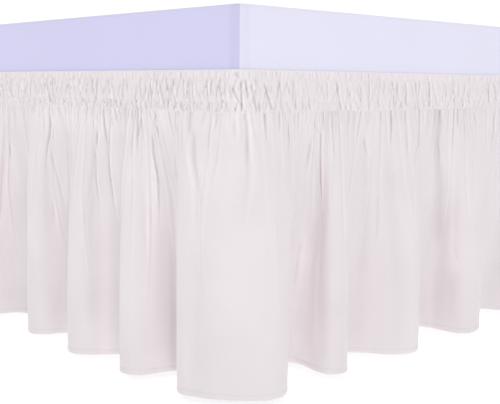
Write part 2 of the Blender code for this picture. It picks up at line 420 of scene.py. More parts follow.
def even_columns(rows):
    """Flank numbers and shares of evenly spaced columns, an even number of them a flank."""
    flanks = []
    shares = []
    fine = np.linspace(0, 1, 33)
    for index in range(len(rows) - 1):
        place, out = hanging(rows, np.full(len(fine), index), fine, [1.0])
        x, y = beside_box(place[0], out[0])
        length = np.hypot(np.diff(x), np.diff(y)).sum()
        middle = (rows[index]["hem"] + rows[index + 1]["hem"]) / 2
        shown = min(abs(middle), abs(middle - PERIMETER)) < SHOWN_REACH
        count = max(6, 2 * round(length / (SHOWN_COLUMN if shown else COLUMN) / 2))
        flanks += [index] * count
        shares += [step / count for step in range(count)]
    return np.array(flanks + [len(rows) - 2]), np.array(shares + [1.0])


def across_cloth(rows, flank, share):
    """How far each column is across the flat cloth, which is how far it is along the hem."""
    place, out = hanging(rows, flank, share, [1.0])
    x, y = beside_box(place[0], out[0])
    return np.concatenate([[0], np.hypot(np.diff(x), np.diff(y)).cumsum()])


def row_heights():
    """Heights of the cloth's rows, from behind the heading to above the turned hem."""
    z = SEAM_Z + UNDER_HEADING
    heights = []
    while z > HEM_Z + HEM_ROWS[0][0] / 1000 + HEM_CLEAR:
        heights.append(z)
        z -= next(step for reach, step in ROW_STEPS if SEAM_Z - z < reach)
    heights += [HEM_Z + row[0] / 1000 for row in HEM_ROWS]
    if len(heights) % 2 == 0:
        heights.pop(1)
    return np.array(heights)


# The creases that show beside the photographed corner. path: points on the flat cloth, across it
# from the corner row and down from the seam; ridge: the raised line along the crease, as a share of
# its depth, on the right or, below zero, on the left. mm.
CREASES = (
    # path, depth, half width, ridge
    (((-799, 25), (-799, 90), (-801, 155), (-815, 240)), 2.6, 4.5, 0.0),
    (((-785, 55), (-778, 96)), 1.4, 2.6, 0.4),
    (((-706, 2), (-713, 30), (-723, 70)), 1.6, 2.4, 0.4),
    (((-669, 62), (-656, 120), (-650, 180)), 2.4, 2.2, 0.5),
    (((-636, 2), (-642, 26)), 1.6, 1.8, 0.4),
    (((-574, 12), (-577, 28), (-583, 42), (-592, 62), (-595, 84), (-596, 112)), 2.6, 2.0, 0.4),
    (((-596, 80), (-597, 136), (-598, 200)), 2.0, 7.0, 0.0),
    (((-525, 2), (-529, 20), (-540, 50), (-546, 76), (-553, 126), (-564, 180)), 1.6, 1.7, 0.5),
    (((-586, 60), (-580, 82), (-572, 108), (-563, 150), (-560, 180)), 1.4, 1.8, 0.3),
    (((-571, 22), (-574, 76)), 1.4, 1.8, 0.4),
    (((-586, 130), (-581, 186)), 1.2, 2.4, 0.3),
    (((-472, 4), (-480, 40), (-486, 90)), 1.2, 2.2, 0.4),
    (((-448, 8), (-452, 60), (-454, 150)), 1.2, 3.0, 0.3),
    (((-400, 28), (-401, 44), (-404, 60)), 3.2, 2.4, 0.4),
    (((-398, 6), (-400, 32)), 1.6, 1.8, 0.4),
    (((-404, 52), (-410, 96), (-411, 150), (-411, 210)), 3.0, 6.5, 0.0),
    (((-431, 52), (-429, 90)), 1.4, 4.0, 0.0),
    (((-354, 2), (-358, 14), (-368, 35), (-374, 60), (-376, 90), (-372, 130), (-366, 170)),
     1.9, 1.9, 0.5),
    (((-408, 46), (-405, 95), (-398, 126), (-395, 165)), 1.8, 2.0, 0.4),
    (((-421, 185), (-418, 250)), 1.4, 6.0, 0.0),
    (((-332, 4), (-324, 50), (-322, 110)), 1.2, 2.6, 0.4),
    (((-300, 2), (-304, 34)), 1.6, 1.8, 0.4),
    (((-260, 8), (-264, 49), (-269, 95), (-270, 160)), 2.6, 2.0, 0.5),
    (((-211, 3), (-224, 25), (-235, 38)), 2.4, 1.8, 0.4),
    (((-233, 16), (-226, 46)), 1.6, 4.0, 0.0),
    (((-218, 90), (-217, 200)), 1.4, 4.5, 0.3),
    (((-166, 3), (-178, 20), (-172, 26)), 1.9, 1.8, 0.4),
    (((-174, 18), (-172, 28), (-172, 38)), 1.5, 2.2, 0.0),
    (((-187, 26), (-191, 53), (-187, 87), (-190, 120), (-196, 160)), 2.2, 2.0, -0.4),
    (((-169, 32), (-159, 48), (-147, 64)), 1.2, 1.8, 0.4),
    (((-123, 26), (-129, 51), (-146, 80), (-164, 103), (-172, 124)), 1.8, 1.8, 0.4),
    (((-106, 4), (-108, 18), (-122, 42)), 1.8, 1.6, 0.4),
    (((-88, 4), (-83, 36), (-77, 64)), 1.4, 2.6, 0.4),
    (((-66, 14), (-64, 46), (-62, 62), (-58, 85), (-56, 109), (-55, 170)), 0.9, 1.8, -0.3),
    (((-33, 2), (-37, 26)), 1.0, 1.4, 0.4),
    (((-5, 4), (-4, 42)), 1.4, 1.5, 0.4),
    (((7, 1), (8, 13), (8, 45), (7, 65), (9, 84)), 1.6, 1.6, 0.4),
    (((40, 1), (38, 22), (38, 32), (27, 42)), 2.0, 1.7, 0.5),
    (((15, 70), (16, 150), (16, 240)), -0.3, 3.5, 0.0),
    (((28, 70), (27, 150), (26, 270)), -0.3, 3.5, 0.0),
    (((50, 60), (46, 150), (42, 270)), -0.3, 3.5, 0.0),
    (((76, 3), (68, 30)), 1.4, 1.8, 0.4),
    (((99, 8), (102, 36), (96, 60)), 2.2, 2.4, 0.4),
    (((135, 3), (133, 30)), 1.3, 1.8, 0.4),
    (((186, 6), (191, 20), (216, 30), (215, 51), (220, 85), (230, 130), (236, 170)), 1.2, 1.8, 0.5),
    (((186, 30), (182, 66), (179, 90)), 2.0, 2.4, 0.4),
    (((194, 155), (200, 210), (204, 265)), 1.2, 3.0, 0.3),
    (((220, 2), (222, 28)), 2.2, 1.7, 0.4),
    (((277, 3), (281, 30), (292, 80)), 1.4, 2.2, 0.4),
    (((335, 6), (339, 60), (346, 130)), 1.2, 3.0, 0.4),
    (((367, 2), (371, 34)), 1.6, 1.8, 0.4),
    (((408, 30), (411, 48), (424, 68)), 2.0, 2.2, 0.4),
    (((443, 105), (446, 150), (447, 190)), 1.4, 4.0, 0.5),
    (((483, 2), (481, 28), (475, 54)), 2.6, 1.8, 0.4),
    (((473, 50), (477, 95), (482, 150)), 2.4, 6.0, 0.0),
    (((483, 100), (485, 150), (483, 210)), 1.4, 10.0, 0.0),
    (((525, 3), (521, 40), (513, 90)), 1.4, 2.2, 0.4),
    (((569, 2), (559, 44), (539, 65), (531, 92)), 2.4, 2.0, 0.4),
    (((614, 3), (612, 40)), 1.4, 2.0, 0.4),
    (((640, 1), (645, 25), (643, 50), (652, 74), (658, 110)), 2.0, 2.4, 0.4),
    (((654, 140), (660, 179), (675, 290)), 1.4, 4.0, 0.0),
    (((706, 2), (708, 25), (726, 36)), 2.4, 1.9, 0.4),
    (((770, 4), (774, 18), (788, 32)), 2.4, 1.9, 0.4),
    (((713, 195), (738, 240)), 1.2, 3.0, 0.0),
    (((855, 4), (862, 36), (854, 58), (862, 90)), 2.6, 2.2, 0.4),
)
SHOWN_CLOTH = (-0.84, 0.90)  # the stretch across the cloth that the table covers
TABLE_DEPTH = 1.15  # what the depths in it are multiplied by
CREASE_SHARP = 1.4  # power of the distance off its line by which a crease's side rises
ROUND_SHARP = 2.0  # the same of a soft wave or tone
WIDE_CREASE = 3.5  # half width, mm: from here on a crease is too soft to get painted shade
FADES = ((0.014, 0.3), (0.070, 0.6))  # in and out: the longest, and as a share of the length
NEAR_SEAM = 0.004  # below the seam: creases that start in there don't fade in
CREASE_REACH = 5  # half widths on either side of its line
RIDGE_OFF = 2.0  # half widths from a crease's line to its ridge
RIDGE_WIDE = 1.2
TAPER = 0.6  # of its half width, where a crease begins and ends

# The gathers below the seam, in tiers. shown: whether they also lie where the table has creases;
# spread: how far from even they lie, of the pitch; depth and length: from the least to the most.
GATHERS = (
    # shown, pitch, spread, depth, length, half width
    (True, 0.0070, 0.40, (0.0003, 0.0013), (0.008, 0.036), 0.0017),
    (True, 0.0190, 0.45, (0.0007, 0.0017), (0.020, 0.080), 0.0020),
    (True, 0.0240, 0.45, (0.0004, 0.0012), (0.090, 0.320), 0.0022),
    (False, 0.0230, 0.40, (0.0010, 0.0021), (0.030, 0.110), 0.0036),
    (False, 0.0520, 0.40, (0.0014, 0.0027), (0.090, 0.230), 0.0052),
)
GATHER_SHARP = 1.3
GATHER_LEAN = 0.10  # of its length, how far a gather leans across the cloth, either way
GATHER_BEND = 0.12  # and how far its lower part bends off that
GATHER_RIDGES = (-0.4, 0.4, 0.4)
GATHER_FADE = (0.010, 0.6)  # a length in, and a share of the gather out
SHORT_GATHER = 0.085  # the longest of a tier that counts as short
# How much deeper or shallower the short ones are, by how far across the cloth they start.
SHORT_DEEPER = (
    (-0.90, -0.62, -0.50, -0.18, -0.06, 0.02, 0.16, 0.24),
    (1.4, 1.5, 1.75, 1.75, 1.2, 0.85, 0.85, 1),
)
BEYOND_HALF = 0.0034  # least half width beyond the shown cloth, where the mesh is coarser
# A tier that lies only beyond it starts there with this share of its depth, and gains by 1 over
# this distance, up to its whole depth.
BEYOND_START = 0.5
BEYOND_FADE = 0.25

# Long, shallow waves that keep the open cloth from lying dead smooth.
SWELL_PITCH = 0.034
SWELL_DEPTH = (0.0003, 0.0010)
SWELL_HALF_WIDTH = (0.006, 0.013)
SWELL_TOP = (0.03, 0.14)  # below the seam
SWELL_FOOT = (-0.08, 0.12)  # height above the floor
SWELL_LEAN = 0.014
SWELL_FADE = (0.05, 0.06)


def furrow(off_line, sharp, ridge):
    """The depth of a crease at these distances off its line, in half widths, less its ridge."""
    trough = np.exp(-(np.abs(off_line) ** sharp))
    off_ridge = off_line - math.copysign(RIDGE_OFF, ridge)
    return trough - abs(ridge) * np.exp(-(off_ridge**2) / RIDGE_WIDE)


def crease(fields, across, z, path, depth, half_width, ridge, sharp, fade):
    """Presses a trough into these height fields along a path of (across, z) points, in metres, with
    a raised line along one side. It fades in and out over these lengths, except at the seam."""
    points = np.array(sorted(path, key=lambda point: -point[1]))
    line = np.interp(-z, -points[:, 1], points[:, 0])
    top, foot = points[0, 1], points[-1, 1]
    start = np.clip((top - z) / fade[0] + (top > SEAM_Z - NEAR_SEAM), 0, 1)
    end = np.clip((z - foot) / fade[1], 0, 1)
    strength = start * (3 * end**2 - 2 * end**3)
    lines = np.nonzero(strength > 0)[0]
    if not len(lines):
        return
    low = line[lines].min() - CREASE_REACH * half_width
    high = line[lines].max() + CREASE_REACH * half_width
    columns = np.nonzero((across > low) & (across < high))[0]
    if not len(columns):
        return
    tapered = half_width * (TAPER + (1 - TAPER) * strength[lines][:, None])
    off_line = (across[columns][None, :] - line[lines][:, None]) / tapered
    pressed = depth * strength[lines][:, None] * furrow(off_line, sharp, ridge)
    for height in fields:
        height[np.ix_(lines, columns)] -= pressed


def below_seam(path):
    """A table's path in metres: across the cloth and height."""
    return [(place / 1000, SEAM_Z - down / 1000) for place, down in path]


def shown_creases(height, fine, across, z):
    """The creases of the table. The wide soft ones are kept out of the fine relief."""
    for path, depth, half_width, ridge in CREASES:
        points = below_seam(path)
        length = points[0][1] - points[-1][1]
        fade = [min(longest, share * length) for longest, share in FADES]
        fields = (height, fine) if half_width < WIDE_CREASE else (height,)
        deep = TABLE_DEPTH * depth / 1000
        crease(fields, across, z, points, deep, half_width / 1000, ridge, CREASE_SHARP, fade)


def is_shown(across):
    """Whether a place on the cloth lies in the stretch of the table of creases."""
    return SHOWN_CLOTH[0] < across < SHOWN_CLOTH[1]


def scattered(places, pitch, spread, chance):
    """Uneven places from the first of these to the last, about a pitch apart."""
    whole = places[-1] - places[0]
    count = round(whole / pitch)
    for step in range(count):
        yield places[0] + whole * (step + 0.5 + chance.uniform(-spread, spread)) / count


def gathers(height, fine, across, z, chance):
    """The gathers below the seam: short ones all along, and fewer long ones that run into the
    folds, where the table has none."""
    for shown_too, pitch, spread, depth, length, half_width in GATHERS:
        for at in scattered(across, pitch, spread, chance):
            lean = chance.uniform(-GATHER_LEAN, GATHER_LEAN)
            run = chance.uniform(*length)
            bend = chance.uniform(-GATHER_BEND, GATHER_BEND)
            path = [
                (at, SEAM_Z + 0.002),
                (at + 0.4 * lean * run, SEAM_Z - 0.4 * run),
                (at + (lean + bend) * run, SEAM_Z - run),
            ]
            deep = chance.uniform(*depth)
            if length[1] < SHORT_GATHER:
                deep *= np.interp(at, *SHORT_DEEPER)
            ridge = chance.choice(GATHER_RIDGES)
            if is_shown(at) and not shown_too:
                continue
            if not shown_too:
                deep *= min(1, (abs(at) - SHOWN_CLOTH[1]) / BEYOND_FADE + BEYOND_START)
            half = half_width if is_shown(at) else max(half_width, BEYOND_HALF)
            deep *= (half_width / half) ** 0.5
            fade = (GATHER_FADE[0], GATHER_FADE[1] * run)
            crease((height, fine), across, z, path, deep, half, ridge, GATHER_SHARP, fade)


def soft_swells(height, across, z, chance):
    """The waves of the open cloth, inwards and outwards."""
    for at in scattered(across, SWELL_PITCH, 0.5, chance):
        top = SEAM_Z - chance.uniform(*SWELL_TOP)
        foot = chance.uniform(*SWELL_FOOT)
        path = [(at, top), (at + chance.uniform(-SWELL_LEAN, SWELL_LEAN), foot)]
        deep = chance.choice((-1, 1)) * chance.uniform(*SWELL_DEPTH)
        half = chance.uniform(*SWELL_HALF_WIDTH)
        crease((height,), across, z, path, deep, half, 0.0, ROUND_SHARP, SWELL_FADE)


# Painted light and shade along the folds beside that corner: painted light where a flank takes
# light
# # from the fold before it, below zero, and painted shade where cloth hangs in shade. Paths as
# above; shade; half width, mm.
PAINTED_TONES = (
    # path, shade, half width
    (((-200, 30), (-203, 115), (-206, 163), (-210, 225), (-206, 310), (-204, 350)), -0.11, 15),
    (((-205, 60), (-211, 115), (-212, 160)), 0.06, 4),
    (((-174, 130), (-178, 178), (-182, 241), (-184, 291), (-184, 350)), 0.11, 5),
    (((-155, 60), (-158, 124), (-166, 177), (-170, 210)), -0.08, 5),
    (((-386, 80), (-388, 150), (-390, 211), (-392, 310), (-392, 380)), -0.08, 10),
    (((-285, 2), (-280, 31), (-278, 74), (-283, 133), (-288, 190)), 0.08, 13),
    (((-246, 5), (-243, 31), (-247, 74), (-252, 120)), -0.05, 8),
    (((-362, 4), (-362, 60), (-366, 110), (-368, 160)), -0.05, 14),
    (((-540, 40), (-550, 76), (-556, 123), (-560, 170)), -0.05, 10),
    (((-622, 190), (-622, 400)), 0.05, 12),
    (((-440, 210), (-438, 400)), 0.06, 16),
    (((-252, 230), (-250, 400)), 0.06, 18),
    (((-406, 20), (-411, 98), (-411, 150), (-411, 300)), 0.05, 9),
    (((-578, 80), (-583, 194), (-586, 290)), -0.05, 9),
    (((-578, 10), (-585, 46), (-594, 80), (-594, 138), (-594, 200)), 0.05, 7),
    (((-789, 80), (-790, 194), (-792, 310)), -0.05, 16),
    (((-775, 40), (-768, 100), (-760, 135), (-758, 198), (-764, 300)), -0.05, 14),
    (((186, 120), (199, 163), (215, 218), (229, 272), (238, 345)), -0.12, 22),
    (((232, 130), (248, 215), (256, 255), (264, 320)), -0.09, 9),
    (((186, 170), (197, 231), (208, 272), (218, 307), (222, 380)), -0.05, 8),
    (((300, 170), (300, 400)), 0.04, 10),
    (((463, 30), (472, 130), (482, 175), (488, 257), (490, 340)), 0.045, 16),
    (((440, 140), (447, 220), (449, 380)), -0.03, 12),
    (((690, 60), (699, 134), (710, 179), (718, 223), (722, 260)), -0.09, 14),
    (((742, 190), (742, 400)), 0.035, 26),
    (((668, 190), (678, 273), (684, 296), (690, 350)), -0.05, 9),
    (((634, 2), (636, 30), (636, 46), (644, 70), (652, 90), (660, 130), (675, 180), (680, 215)),
     0.11, 11),
    (((194, 20), (200, 50), (212, 87), (216, 119), (220, 150)), 0.06, 8),
    (((93, 10), (92, 46), (90, 110)), 0.03, 8),
    (((8, 40), (8, 88), (8, 150)), 0.035, 13),
    (((400, 10), (402, 46), (416, 80), (427, 162), (430, 240)), 0.04, 10),
    (((-5, 200), (-5, 400)), 0.04, 60),
    (((-45, 10), (-48, 60), (-52, 120)), -0.03, 24),
    (((-45, 110), (-48, 200), (-48, 260), (-45, 400)), 0.045, 22),
    (((-72, 270), (-72, 400)), 0.05, 16),
    (((-450, 0), (-450, 50)), -0.05, 330),
    (((-60, 0), (-60, 50)), -0.03, 170),
)
TONE_FADE = (0.070, 0.040)


def painted_tones(shade, across, z):
    """Paints the table's light and shade into the cloth's shade."""
    for path, tone, half_width in PAINTED_TONES:
        points = below_seam(path)
        half = half_width / 1000
        crease((shade,), across, z, points, -tone, half, 0.0, ROUND_SHARP, TONE_FADE)


def cloth_object(name, points, faces, shades, cloth_at, material):
    """A smooth piece of cloth. cloth_at gives the UV map's values, in metres across the cloth and
    of height, from the numbers of the points at the faces' corners."""
    mesh = bpy.data.meshes.new(name)
    mesh.from_pydata(points, [], faces)
    mesh.update()
    corners = np.zeros(len(mesh.loops), np.int32)
    mesh.loops.foreach_get("vertex_index", corners)
    layer = mesh.uv_layers.new(name="cloth")
    layer.data.foreach_set("uv", cloth_at(corners).ravel())
    mesh.attributes.new("shade", "FLOAT", "POINT").data.foreach_set("value", shades)
    mesh.polygons.foreach_set("use_smooth", np.ones(len(mesh.polygons), bool))
    mesh.materials.append(material)
    made = bpy.data.objects.new(name, mesh)
    bpy.context.scene.collection.objects.link(made)
    return made


def thin_sheet(name, middle, out_way, z, shade, outer, inner, across, material):
    """A closed thin sheet, its inner face with every second row and column."""
    rows, columns = outer.shape
    fine = np.arange(columns)
    coarse = np.arange(0, columns, 2)
    points = []
    maps = []
    shades = []
    faces = []

    def add_line(row, chosen, offset):
        line = len(points) + np.arange(len(chosen))
        off_middle = out_way[row, chosen] * offset[row, chosen][:, None]
        points.extend((middle[row, chosen] + off_middle).tolist())
        maps.extend(zip(across[chosen].tolist(), [z[row]] * len(chosen)))
        shades.extend(shade[row, chosen].tolist())
        return line

    def add_faces(*corners):
        faces.extend(np.stack(corners, 1).tolist())

    front = [add_line(row, fine, outer) for row in range(rows)]
    for upper, lower in zip(front, front[1:]):
        add_faces(upper[:-1], lower[:-1], lower[1:], upper[1:])
    back = [add_line(row, coarse, -inner) for row in range(0, rows, 2)]
    for upper, lower in zip(back, back[1:]):
        add_faces(upper[:-1], upper[1:], lower[1:], lower[:-1])
    top, top_back = front[0], back[0]
    add_faces(top_back[:-1], top[:-1:2], top[1::2], top[2::2], top_back[1:])
    foot, foot_back = front[-1], back[-1]
    add_faces(foot[:-1:2], foot_back[:-1], foot_back[1:], foot[2::2], foot[1::2])
    for row in range(len(back) - 1):
        a, b, c = (front[2 * row + k] for k in range(3))
        faces.append([a[0], back[row][0], back[row + 1][0], c[0], b[0]])
        faces.append([a[-1], b[-1], c[-1], back[row + 1][-1], back[row][-1]])
    map_of = np.array(maps)
    return cloth_object(name, points, faces, shades, lambda corners: map_of[corners], material)


SHADE_COLOUR = (-0.90, -0.89, -0.89)  # what full painted shade adds to the cloth's colour
CREASE_SHADE = 0.34  # painted shade of a crease as deep as DEEP_CREASE below SHALLOW_CREASE
DEEP_CREASE = 0.004
SHALLOW_CREASE = 0.0004
RIDGE_LIGHT = 0.14  # painted highlight of a ridge as high as HIGH_RIDGE
HIGH_RIDGE = 0.0012
# painted shade in the valleys, of cloth that is fully sunk
VALLEY_SHADE = 0.13


def shade_in(creases, sunk):
    """Painted shade from the depth of the fine creases and from how far into a valley the cloth
    lies, less a painted highlight on the ridges.
    """
    in_crease = np.clip((-creases - SHALLOW_CREASE) / DEEP_CREASE, 0, 1)
    on_ridge = np.clip(creases / HIGH_RIDGE, 0, 1)
    return CREASE_SHADE * in_crease - RIDGE_LIGHT * on_ridge + VALLEY_SHADE * sunk


THREAD = 0.0009  # the threads are 0.25 mm apart; drawn coarser so that they show
STITCH = 0.0028
STITCH_SHOWN = 0.7  # of each, between the places where the needle went in
STITCH_HALF_WIDTH = 0.0006


def microfibre(name, colour, stitch_heights):
    """Brushed polyester microfibre, plain woven and bleached: matt, with slubs of 1 to 2 mm, clouds
    of about 70 mm and a soft sheen on its folds. Its seams are lockstitch in matching thread."""
    made, shader = new_material(name, 0.82, Sheen_Weight=0.08, Sheen_Roughness=0.45)
    cloth = add_node(made, "UVMap", uv_map="cloth")
    cloudy = add_node(made, "TexNoise", [("Vector", cloth), ("Scale", 14.0), ("Detail", 4.0)])
    tones = ((0.35, from_hex(colour, 0.975)), (0.65, from_hex(colour)))
    bleached = add_node(made, "ValToRGB", [("Fac", cloudy)], tones)
    # Painted shade in the creases and the valleys of the folds, a little pinker than the cloth, and
    # painted highlight on the ridges.
    shade = add_node(made, "Attribute", attribute_name="shade").outputs["Fac"]
    deepened = add_node(
        made, "VectorMath", [(0, SHADE_COLOUR), (1, shade), (2, bleached)], operation="MULTIPLY_ADD"
    )
    split = add_node(made, "SeparateXYZ", [("Vector", cloth)])
    across, height = split.outputs["X"], split.outputs["Y"]
    threads = []
    for side in (across, height):
        turns = add_node(made, "Math", [(0, side), (1, 2 * math.pi / THREAD)], operation="MULTIPLY")
        threads.append(add_node(made, "Math", [(0, turns)], operation="SINE"))
    weave = add_node(made, "Math", enumerate(threads), operation="MULTIPLY")
    slubs = add_node(made, "TexNoise", [("Vector", cloth), ("Scale", 700.0), ("Detail", 2.0)])
    relief = add_node(made, "Math", [(0, weave), (1, slubs)], operation="ADD")
    stitches = add_node(made, "Math", [(0, across), (1, 1 / STITCH)], operation="MULTIPLY")
    in_stitch = add_node(made, "Math", [(0, stitches)], operation="FRACT")
    dash = add_node(made, "Math", [(0, in_stitch), (1, STITCH_SHOWN)], operation="LESS_THAN")
    for line in stitch_heights:
        above = add_node(made, "Math", [(0, height), (1, line)], operation="SUBTRACT")
        off_line = add_node(made, "Math", [(0, above)], operation="ABSOLUTE")
        on_line = add_node(
            made, "Math", [(0, off_line), (1, STITCH_HALF_WIDTH)], operation="LESS_THAN"
        )
        stitch = add_node(made, "Math", [(0, on_line), (1, dash)], operation="MULTIPLY")
        relief = add_node(
            made, "Math", [(0, stitch), (1, 3.0), (2, relief)], operation="MULTIPLY_ADD"
        )
    bump = add_node(made, "Bump", [("Height", relief), ("Strength", 0.10), ("Distance", 0.0005)])
    return finish_material(made, shader, deepened, bump)


def hang_width(name, rows, flank, share, across, material, chance):
    """One width of the skirt, from one deep valley to another."""
    z = row_heights()
    down = np.clip((SEAM_Z - z) / (SEAM_Z - HEM_Z), 0, 1)
    place, out = hanging(rows, flank, share, down)
    x, y = beside_box(place, out)
    middle = np.stack([x, y, np.repeat(z[:, None], len(across), 1)], 2)
    out_way = np.cross(np.gradient(middle, axis=0), np.gradient(middle, axis=1))
    out_way /= np.linalg.norm(out_way, axis=2, keepdims=True)
    height = np.zeros(place.shape)
    fine = np.zeros(place.shape)
    shown_creases(height, fine, across, z)
    gathers(height, fine, across, z, chance)
    soft_swells(height, across, z, chance)
    # Where two widths are joined the cloth lies flat.
    from_join = np.minimum(across - across[0], across[-1] - across)
    free = 1 - np.exp(-((from_join / FLAT_AT_JOIN) ** 2))
    height *= free
    # Painted shade in the creases and valleys and painted highlight on the ridges, then the table's
    # painted light and shade.
    shade = shade_in(fine * free, how_sunk(rows, flank, share, down))
    painted_tones(shade, across, z)
    height -= TUCK * np.exp(-(((SEAM_Z + UNDER_HEADING - z) / TUCK_DROP) ** 2))[:, None]
    outer = height + THICK / 2
    inner = -height + THICK / 2
    for row, (_, outward, inward) in zip(range(len(z) - len(HEM_ROWS), len(z)), HEM_ROWS):
        outer[row] += outward / 1000
        inner[row] += inward / 1000
    return thin_sheet(name, middle, out_way, z, shade, outer, inner, across, material)


WIDTHS_OF_CLOTH = 4
CLOTH_COLOUR = "EEE7EA"
CLOTH_SEED = 40
HEM_STITCHES = 0.0073  # above the hem's edge, where HEM_ROWS has their dent
skirt_cloth = microfibre("brushed_microfibre", CLOTH_COLOUR, [HEM_Z + HEM_STITCHES])
fold_rows = all_folds()
valleys = [i for i, row in enumerate(fold_rows) if row["out"] < SEAM_OUT]
cuts = []
for quarter in range(WIDTHS_OF_CLOTH + 1):
    wanted = fold_rows[0]["hem"] + PERIMETER * quarter / WIDTHS_OF_CLOTH
    cuts.append(min(valleys, key=lambda i: abs(fold_rows[i]["hem"] - wanted)))
to_corner = fold_rows[: CORNER_ROW + 1]
corner_across = across_cloth(to_corner, *even_columns(to_corner))[-1]
start_across = -corner_across
for number, (first, last) in enumerate(zip(cuts, cuts[1:]), 1):
    rows = fold_rows[first : last + 1]
    flank, share = even_columns(rows)
    across = across_cloth(rows, flank, share)
    if number == WIDTHS_OF_CLOTH:  # counted back from the photographed corner
        start_across = -corner_across - across[-1]
    chance = random.Random(CLOTH_SEED + number)
    width = hang_width(
        f"skirt_cloth_{number}", rows, flank, share, start_across + across, skirt_cloth, chance
    )
    start_across += across[-1]
    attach(width, "root")
    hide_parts(f"skirt_width_{number}")


# ---------------------------------------------------------------------------------------------
# The heading: a strip of the same cloth folded over 25 mm elastic and shirred on it. Two rows of
# stitches hold the elastic in its casing. A frilled lip stands above, and the skirt hangs below.

# From the top down: distance below the top and off the box, mm, and how deep the gathers are.
HEADING_ROWS = (
    # down, out, depth
    (0.0, 1.0, 0.2),
    (0.7, 2.6, 0.5),
    (2.2, 3.9, 0.9),
    (4.4, 4.6, 1.0),
    (6.8, 4.8, 1.0),
    (9.0, 4.7, 1.0),
    (10.6, 4.4, 0.8),
    (12.0, 4.8, 0.9),
    (14.0, 5.3, 1.0),
    (16.5, 5.6, 1.0),
    (19.5, 5.8, 1.0),
    (23.0, 5.9, 1.0),
    (26.5, 5.9, 1.0),
    (30.0, 5.8, 1.0),
    (33.0, 5.7, 1.0),
    (35.5, 5.5, 1.0),
    (37.4, 5.2, 1.0),
    (38.6, 4.9, 0.9),
    (39.8, 5.1, 1.0),
    (41.5, 5.4, 1.0),
    (43.5, 5.5, 1.0),
    (45.5, 5.5, 1.0),
    (47.4, 5.5, 1.0),
    (49.2, 5.3, 1.0),
    (51.0, 4.6, 1.0),
    (52.6, 3.4, 0.8),
)
LIP, CASING, LOWER = (0.0, 10.6), (10.6, 38.6), (38.6, 53.5)
SHIRRED_LIT_COLOUR = "F2EBEE"  # the same cloth, painted a little lighter than the skirt's: painted light on the heading
SHIRRED = 0.25  # painted shade for gathers finer than the mesh, as of cloth this far into a valley
EDGE_LIGHT = 0.10  # painted highlight: shade taken off at the lip's upper edge, which stands free in the light
EDGE_LIGHT_DROP = 2.5  # mm over which that falls to a third
HEADING_STITCHES = (0.0104, 0.0385)  # below the top
LEAST_OUT = 0.0009  # off the box, of the front in the deepest gathers
BACK_OUT = 0.0003
SHOWN_HEADING = (-0.57, 0.57)
HEADING_FADE = 0.33  # beyond that, over which the mesh and its gathers grow coarser
HEADING_COLUMN_SHOWN = 0.0007
HEADING_COLUMN = 0.0030
LAST_COLUMN = 0.0005  # least distance from the last column on to the first
FINER_SHADE = 0.012  # painted shade, for the gathers that the coarser mesh can't hold

# The deepest gathers of the casing beside the photographed corner: where each starts and ends, by
# place along the box and distance below the top, and how deep it is. mm.
CASING_GATHERS = (
    # place, below, place, below, depth
    (-552, 12, -550, 19, 1.6),
    (-530, 14, -516, 38, 1.8),
    (-487, 13, -485, 46, 2.8),
    (-477, 28, -466, 43, 1.6),
    (-450, 12, -446, 30, 1.4),
    (-421, 14, -418, 31, 2.0),
    (-391, 12, -389, 46, 2.8),
    (-371, 30, -366, 48, 1.8),
    (-350, 12, -345, 47, 3.0),
    (-326, 13, -317, 46, 2.6),
    (-288, 14, -287, 42, 2.0),
    (-268, 28, -262, 44, 1.6),
    (-252, 11, -252, 23, 1.8),
    (-247, 40, -247, 49, 2.8),
    (-239, 32, -236, 44, 1.8),
    (-214, 12, -212, 26, 1.6),
    (-193, 34, -190, 45, 1.8),
    (-178, 26, -181, 38, 1.6),
    (-160, 12, -158, 46, 2.8),
    (-150, 12, -139, 44, 2.8),
    (-128, 24, -126, 44, 1.6),
    (-115, 13, -109, 43, 3.0),
    (-94, 12, -92, 30, 1.6),
    (-77, 18, -74, 43, 2.8),
    (-62, 30, -62, 46, 1.6),
    (-50, 13, -48, 40, 2.2),
    (-30, 18, -23, 29, 2.4),
    (-23, 28, -24, 42, 2.8),
    (2, 14, 3, 48, 2.4),
    (7, 13, 11, 32, 1.8),
    (15, 19, 23, 47, 2.8),
    (35, 17, 49, 46, 3.0),
    (61, 13, 65, 46, 2.0),
    (72, 14, 78, 28, 1.8),
    (85, 13, 90, 46, 3.0),
    (100, 32, 103, 46, 1.8),
    (113, 30, 114, 48, 1.8),
    (130, 12, 128, 30, 1.4),
    (145, 12, 146, 31, 2.0),
    (163, 12, 173, 49, 2.8),
    (190, 26, 192, 46, 1.6),
    (211, 20, 214, 39, 1.8),
    (228, 12, 229, 48, 2.8),
    (248, 32, 250, 45, 1.8),
    (261, 12, 260, 28, 1.8),
    (278, 12, 285, 46, 2.2),
    (290, 12, 287, 43, 1.8),
    (307, 14, 311, 45, 2.8),
    (330, 12, 332, 30, 1.6),
    (348, 30, 349, 38, 1.6),
    (362, 12, 365, 46, 2.8),
    (378, 32, 383, 45, 1.8),
    (402, 12, 404, 34, 1.6),
    (423, 22, 428, 45, 2.2),
    (446, 36, 449, 48, 1.8),
    (460, 28, 468, 43, 2.0),
    (484, 17, 487, 30, 1.8),
    (514, 12, 520, 40, 2.8),
    (533, 16, 541, 39, 2.0),
)
PLACED_DEPTH = 1.3  # what the depths in that table are multiplied by
PLACED_HALF_WIDTH = 0.0011
PLACED_RIDGE = 0.45
